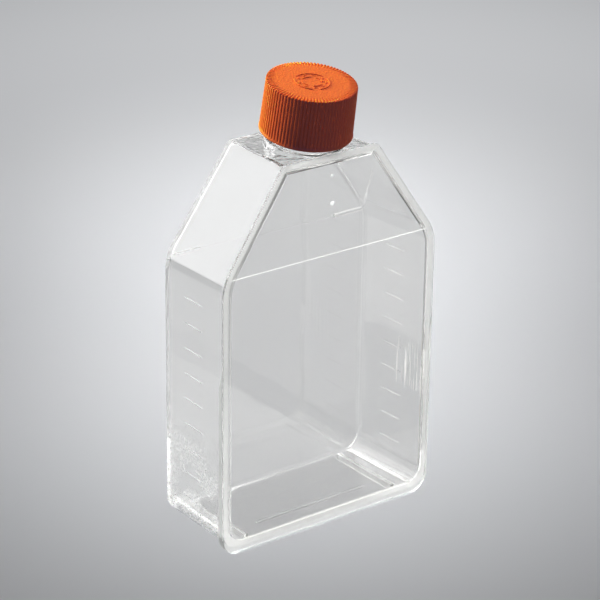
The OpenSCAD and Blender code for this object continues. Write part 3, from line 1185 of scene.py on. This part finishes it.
def weld_face_or_bar_highlight(face):
    """True on the tray's narrow front face, and on two edges of the right-hand bar, where the
    white is a painted highlight.
    """
    middle = face.calc_center_median()
    off_weld = behind_cover(middle) - COVER_THICKNESS - WELD_GAP
    if face.normal.y < -FACING and abs(off_weld) < SAME_DEPTH:
        return True
    # The upper and lower edge of the right-hand bar: a painted highlight in the weld's white.
    wall = FRONT_Y + FLASK_DEPTH - WALL
    on_bar = abs(middle.z - GROWTH_CREASE) < BAR_R and wall - BAR_R < middle.y < wall - SLACK
    along = BAR_FROM - BAR_R < middle.x < BAR_TO
    return on_bar and along and abs(face.normal.z) > BAR_EDGE


def cover_weld_or_highlight(face):
    """True where the rim and lip face the tray and on the gate marks, and on two painted
    highlights: the crease line and the rim's underside at the floor.
    """
    middle = face.calc_center_median()
    depth = behind_cover(middle)
    if depth < 0.0:
        return abs(middle.x) < MARK_REACH
    near_crease = abs(middle.z - COVER_CREASE) < LINE_REACH and abs(middle.x) < LINE_HALF
    # The crease line: a painted highlight in the weld's white.
    if near_crease and depth > COVER_THICKNESS + 0.02:
        return True
    # The rim's underside at the floor: a painted highlight in the weld's white, not a weld.
    if face.normal.z < -FACING and middle.z < COVER_THICKNESS:
        return True
    outwards = Vector((middle.x, 0.0, middle.z - BODY_HEIGHT / 2))
    hugs_tray = abs(face.normal.y) < SIDEWAYS and face.normal.dot(outwards) < 0
    rim_back = face.normal.y > FACING and face.calc_area() < LARGEST_RIM
    return depth > COVER_THICKNESS - SLACK and (hugs_tray or rim_back)


# %% Cap plastic and seal foam
def grain_group():
    group, start, end, place = new_group("moulded grain", Grain=1, Roughness=0.4, Variation=0.08)
    fine = noise(group, -500, 0, place, 1400)
    height = calculate(group, "MULTIPLY", 0, 0, fine, start["Grain"])
    group.links.new(height, end["Height"])
    broad = noise(group, -500, -300, place, 160)
    change = calculate(group, "MULTIPLY", 0, -300, broad, start["Variation"])
    rough = calculate(group, "ADD", 200, -300, change, start["Roughness"])
    group.links.new(rough, end["Roughness"])
    return group


grain = grain_group()
MOULDED_IOR = 1.49


def moulded_plastic(name, colour, roughness, grain_height, variation, shine=0.5):
    values = {"IOR": MOULDED_IOR, "Specular IOR Level": shine}
    material, tree, shader = new_material(name, colour, values)
    surface = shared(tree, grain, {"Roughness": roughness, "Variation": variation})
    tree.links.new(surface["Roughness"], shader.inputs["Roughness"])
    relief(tree, shader, surface["Height"], grain_height)
    return material


cap_plastic = moulded_plastic("cap_plastic", (0.82, 0.115, 0.016), 0.5, 0.0003, 0.12, shine=0.2)
seal_foam = moulded_plastic("seal_foam", (0.86, 0.86, 0.83), 0.7, 0.0001, 0.1)

# %% Finish the pieces
# The second material is the weld's white, a painted highlight on the bar, the crease line and the
# rim's underside.
finish_piece(tray, [tray_plastic, weld], "flask", ["flask_body"], second=weld_face_or_bar_highlight)
finish_piece(cover, [cover_plastic, weld], "flask", ["cover_plate"], second=cover_weld_or_highlight)
finish_piece(cap, [cap_plastic], "cap", ["screw_cap"], sharp_angle=40)
finish_piece(seal, [seal_foam], "seal", ["seal_disc"])

# %% [markdown]
# ## Floor
#
# The flask stands on a plain pale floor, so large that its edge is never in view. Two soft lamps
# make the gentle pool of light on it, and they shine on nothing else.

# %% Floor
FLOOR_R = 6000
floor_mesh = bmesh.new()
bmesh.ops.create_circle(floor_mesh, cap_ends=True, radius=FLOOR_R, segments=64)
floor = bare_object(floor_mesh, "floor")
floor.data.transform(Matrix.Diagonal((MM, MM, MM, 1.0)))
matt = {"Roughness": 0.9, "Specular IOR Level": 0.1}
floor.data.materials.append(new_material("floor_paint", (0.78, 0.79, 0.81), matt)[0])


def lit_group(name, *pieces):
    """A collection for light linking: a lamp that has it shines on these pieces alone."""
    group = bpy.data.collections.new(name)
    for piece in pieces:
        group.objects.link(piece)
    return group


floor_only = lit_group("lit by the floor lamps", floor)


# %% Floor lamps
def softbox(name, place, aim, width, height, power, pieces, colour=(1.0, 1.0, 1.0)):
    """A soft rectangular lamp that the camera can't see."""
    lamp = bpy.data.lights.new(name, "AREA")
    lamp.shape = "RECTANGLE"
    lamp.size = width
    lamp.size_y = height
    lamp.energy = power
    lamp.color = colour
    obj = add(name, lamp)
    obj.location = place
    obj.rotation_euler = (Vector(aim) - Vector(place)).to_track_quat("-Z", "Y").to_euler()
    obj.visible_camera = False
    obj.light_linking.receiver_collection = pieces
    print(f"{name}: {power:.2f} watts")
    return obj


YAW = math.radians(37.747)
back_light = softbox(
    "back light", (0.354, 0.436, 0.596), (0.177, 0.218, 0.0), 0.2, 0.2, 2.746, floor_only
)
pool = softbox(
    "pool light", (0.093, 0.121, 0.802), (0.093, 0.121, 0.0), 0.05, 0.378, 0.148, floor_only
)
pool.rotation_euler = (0.0, 0.0, -YAW)
pool.data.spread = math.radians(24.6)
for lamp in (back_light, pool):
    lamp.light_linking.blocker_collection = floor_only

# %% [markdown]
# ## The light tent
#
# Clear plastic has no brightness of its own: each edge shows a piece of the room, bent or
# mirrored. Glass is therefore best shown inside a tent of white cloth, on a glowing table,
# with an opening low at the front where the camera looks in. The walls that stand where the
# edges look make them white, and the gaps between the walls make them dark. The tent shines on
# the clear pieces and the seal alone, so the floor keeps its own even light.

# %% Tent walls
FLASK_MIDDLE = Vector((0.0, 0.0, 0.06))
TENT_DISTANCE = 1.0
clear_pieces = lit_group("lit by the tent", tray, cover, seal)


def tent_wall(
    name, azimuth, elevation, width, height, radiance, pieces=clear_pieces, colour=(1, 1, 1)
):
    """A wall that faces the flask; azimuth 0 is straight behind it and 90 is on its right."""
    turn = YAW + math.radians(azimuth)
    up = math.radians(elevation)
    way = Vector((math.sin(turn) * math.cos(up), math.cos(turn) * math.cos(up), math.sin(up)))
    place = FLASK_MIDDLE + TENT_DISTANCE * way
    power = radiance * math.pi * width * height
    return softbox(name, place, FLASK_MIDDLE, width, height, power, pieces, colour)


tent_wall("tent left", -60, 22, 1.1, 0.85, 2.25)
tent_wall("tent back", 0, 10, 1.1, 0.36, 1.0)
tent_wall("tent right back", 60, 10, 1.1, 0.36, 1.1)
tent_wall("tent right", 105, 22, 0.54, 0.85, 1.1)
tent_wall("tent right front", 140, 22, 0.6, 0.85, 1.6)
tent_wall("tent left front", -135, 15, 0.7, 0.5, 1.0)
tent_wall("tent front", 150, 50, 1.2, 0.8, 4.8)
tent_wall("tent roof", 0, 67, 1.1, 0.7, 4.2)
tent_wall("tent roof left", -100, 67, 0.6, 0.6, 0.9)

# %% The glowing table
TABLE_Z = 0.0001


def glow(name, x_from, x_to, y_from, y_to, radiance):
    """A part of the table top that glows upwards, just above the floor."""
    middle = Vector(((x_from + x_to) / 2, (y_from + y_to) / 2, TABLE_Z))
    width, height = x_to - x_from, y_to - y_from
    power = radiance * math.pi * width * height
    part = softbox(name, middle, middle + Vector((0, 0, 1)), width, height, power, clear_pieces)
    part.rotation_euler = (math.pi, 0.0, 0.0)


glow("glow left", -0.30, -0.046, -0.02, 0.33, 0.56)
glow("glow left front", -0.30, -0.062, -0.4, -0.022, 0.84)
glow("glow front", -0.06, 0.038, -0.30, -0.019, 0.5)
glow("glow right front", 0.052, 0.5, -0.4, -0.019, 0.18)

# %% [markdown]
# ## Light on the cap
#
# The cap is not clear, so it is lit for its own shape: a strong soft lamp from the left that
# leaves the front of the skirt in shade, a yellow-green one behind it that rims the left edge, a
# roof lamp for the top, a cool fill from the front, and a weak lamp on the right. The world
# itself is nearly dark.

# %% Cap lamps
cap_only = lit_group("lit by the cap lamps", cap)
tent_wall("cap key", -70, 25, 0.5, 0.4, 24.5, cap_only, (1.0, 1.0, 0.6))
tent_wall("cap rim", -40, 20, 0.3, 0.5, 40.0, cap_only, (0.2, 1.0, 0.05))
tent_wall("cap roof", 20, 58, 0.6, 0.6, 7.0, cap_only, (1.0, 0.8, 0.5))
tent_wall("cap fill", 170, 15, 1.2, 0.8, 3.2, cap_only, (0.035, 0.12, 1.0))
tent_wall("cap right", 80, 15, 0.4, 0.6, 1.0, cap_only, (1.0, 0.9, 1.0))

world = bpy.data.worlds.new("studio")
world.use_nodes = True
dial(world.node_tree.nodes["Background"], {"Color": (0.9, 0.95, 1.0, 1.0), "Strength": 0.03})
bpy.context.scene.world = world

# %% Camera
PITCH = math.radians(22.574)
ROLL = math.radians(0.763)
back = Vector(
    (-math.sin(YAW) * math.cos(PITCH), -math.cos(YAW) * math.cos(PITCH), math.sin(PITCH))
)
camera_data = bpy.data.cameras.new("camera")
camera_data.lens = 150
camera_data.sensor_width = 36
camera = add("camera", camera_data)
camera.rotation_euler = (
    back.to_track_quat("Z", "Y").to_matrix() @ Matrix.Rotation(ROLL, 3, "Z")
).to_euler()
camera.location = (-0.45162, -0.58312, 0.37982)
print("camera:", round(camera.location.length, 3), "m from the flask's foot")
bpy.context.scene.camera = camera

# %% Rays through many walls
# A ray that looks through the flask meets eight or more surfaces, so it may bend that often.
BOUNCES = 96
scene = bpy.context.scene
scene.view_settings.view_transform = "Standard"
scene.cycles.max_bounces = BOUNCES
scene.cycles.transmission_bounces = BOUNCES
scene.cycles.glossy_bounces = BOUNCES
scene.cycles.transparent_max_bounces = 32
scene.cycles.caustics_reflective = False
scene.cycles.caustics_refractive = False
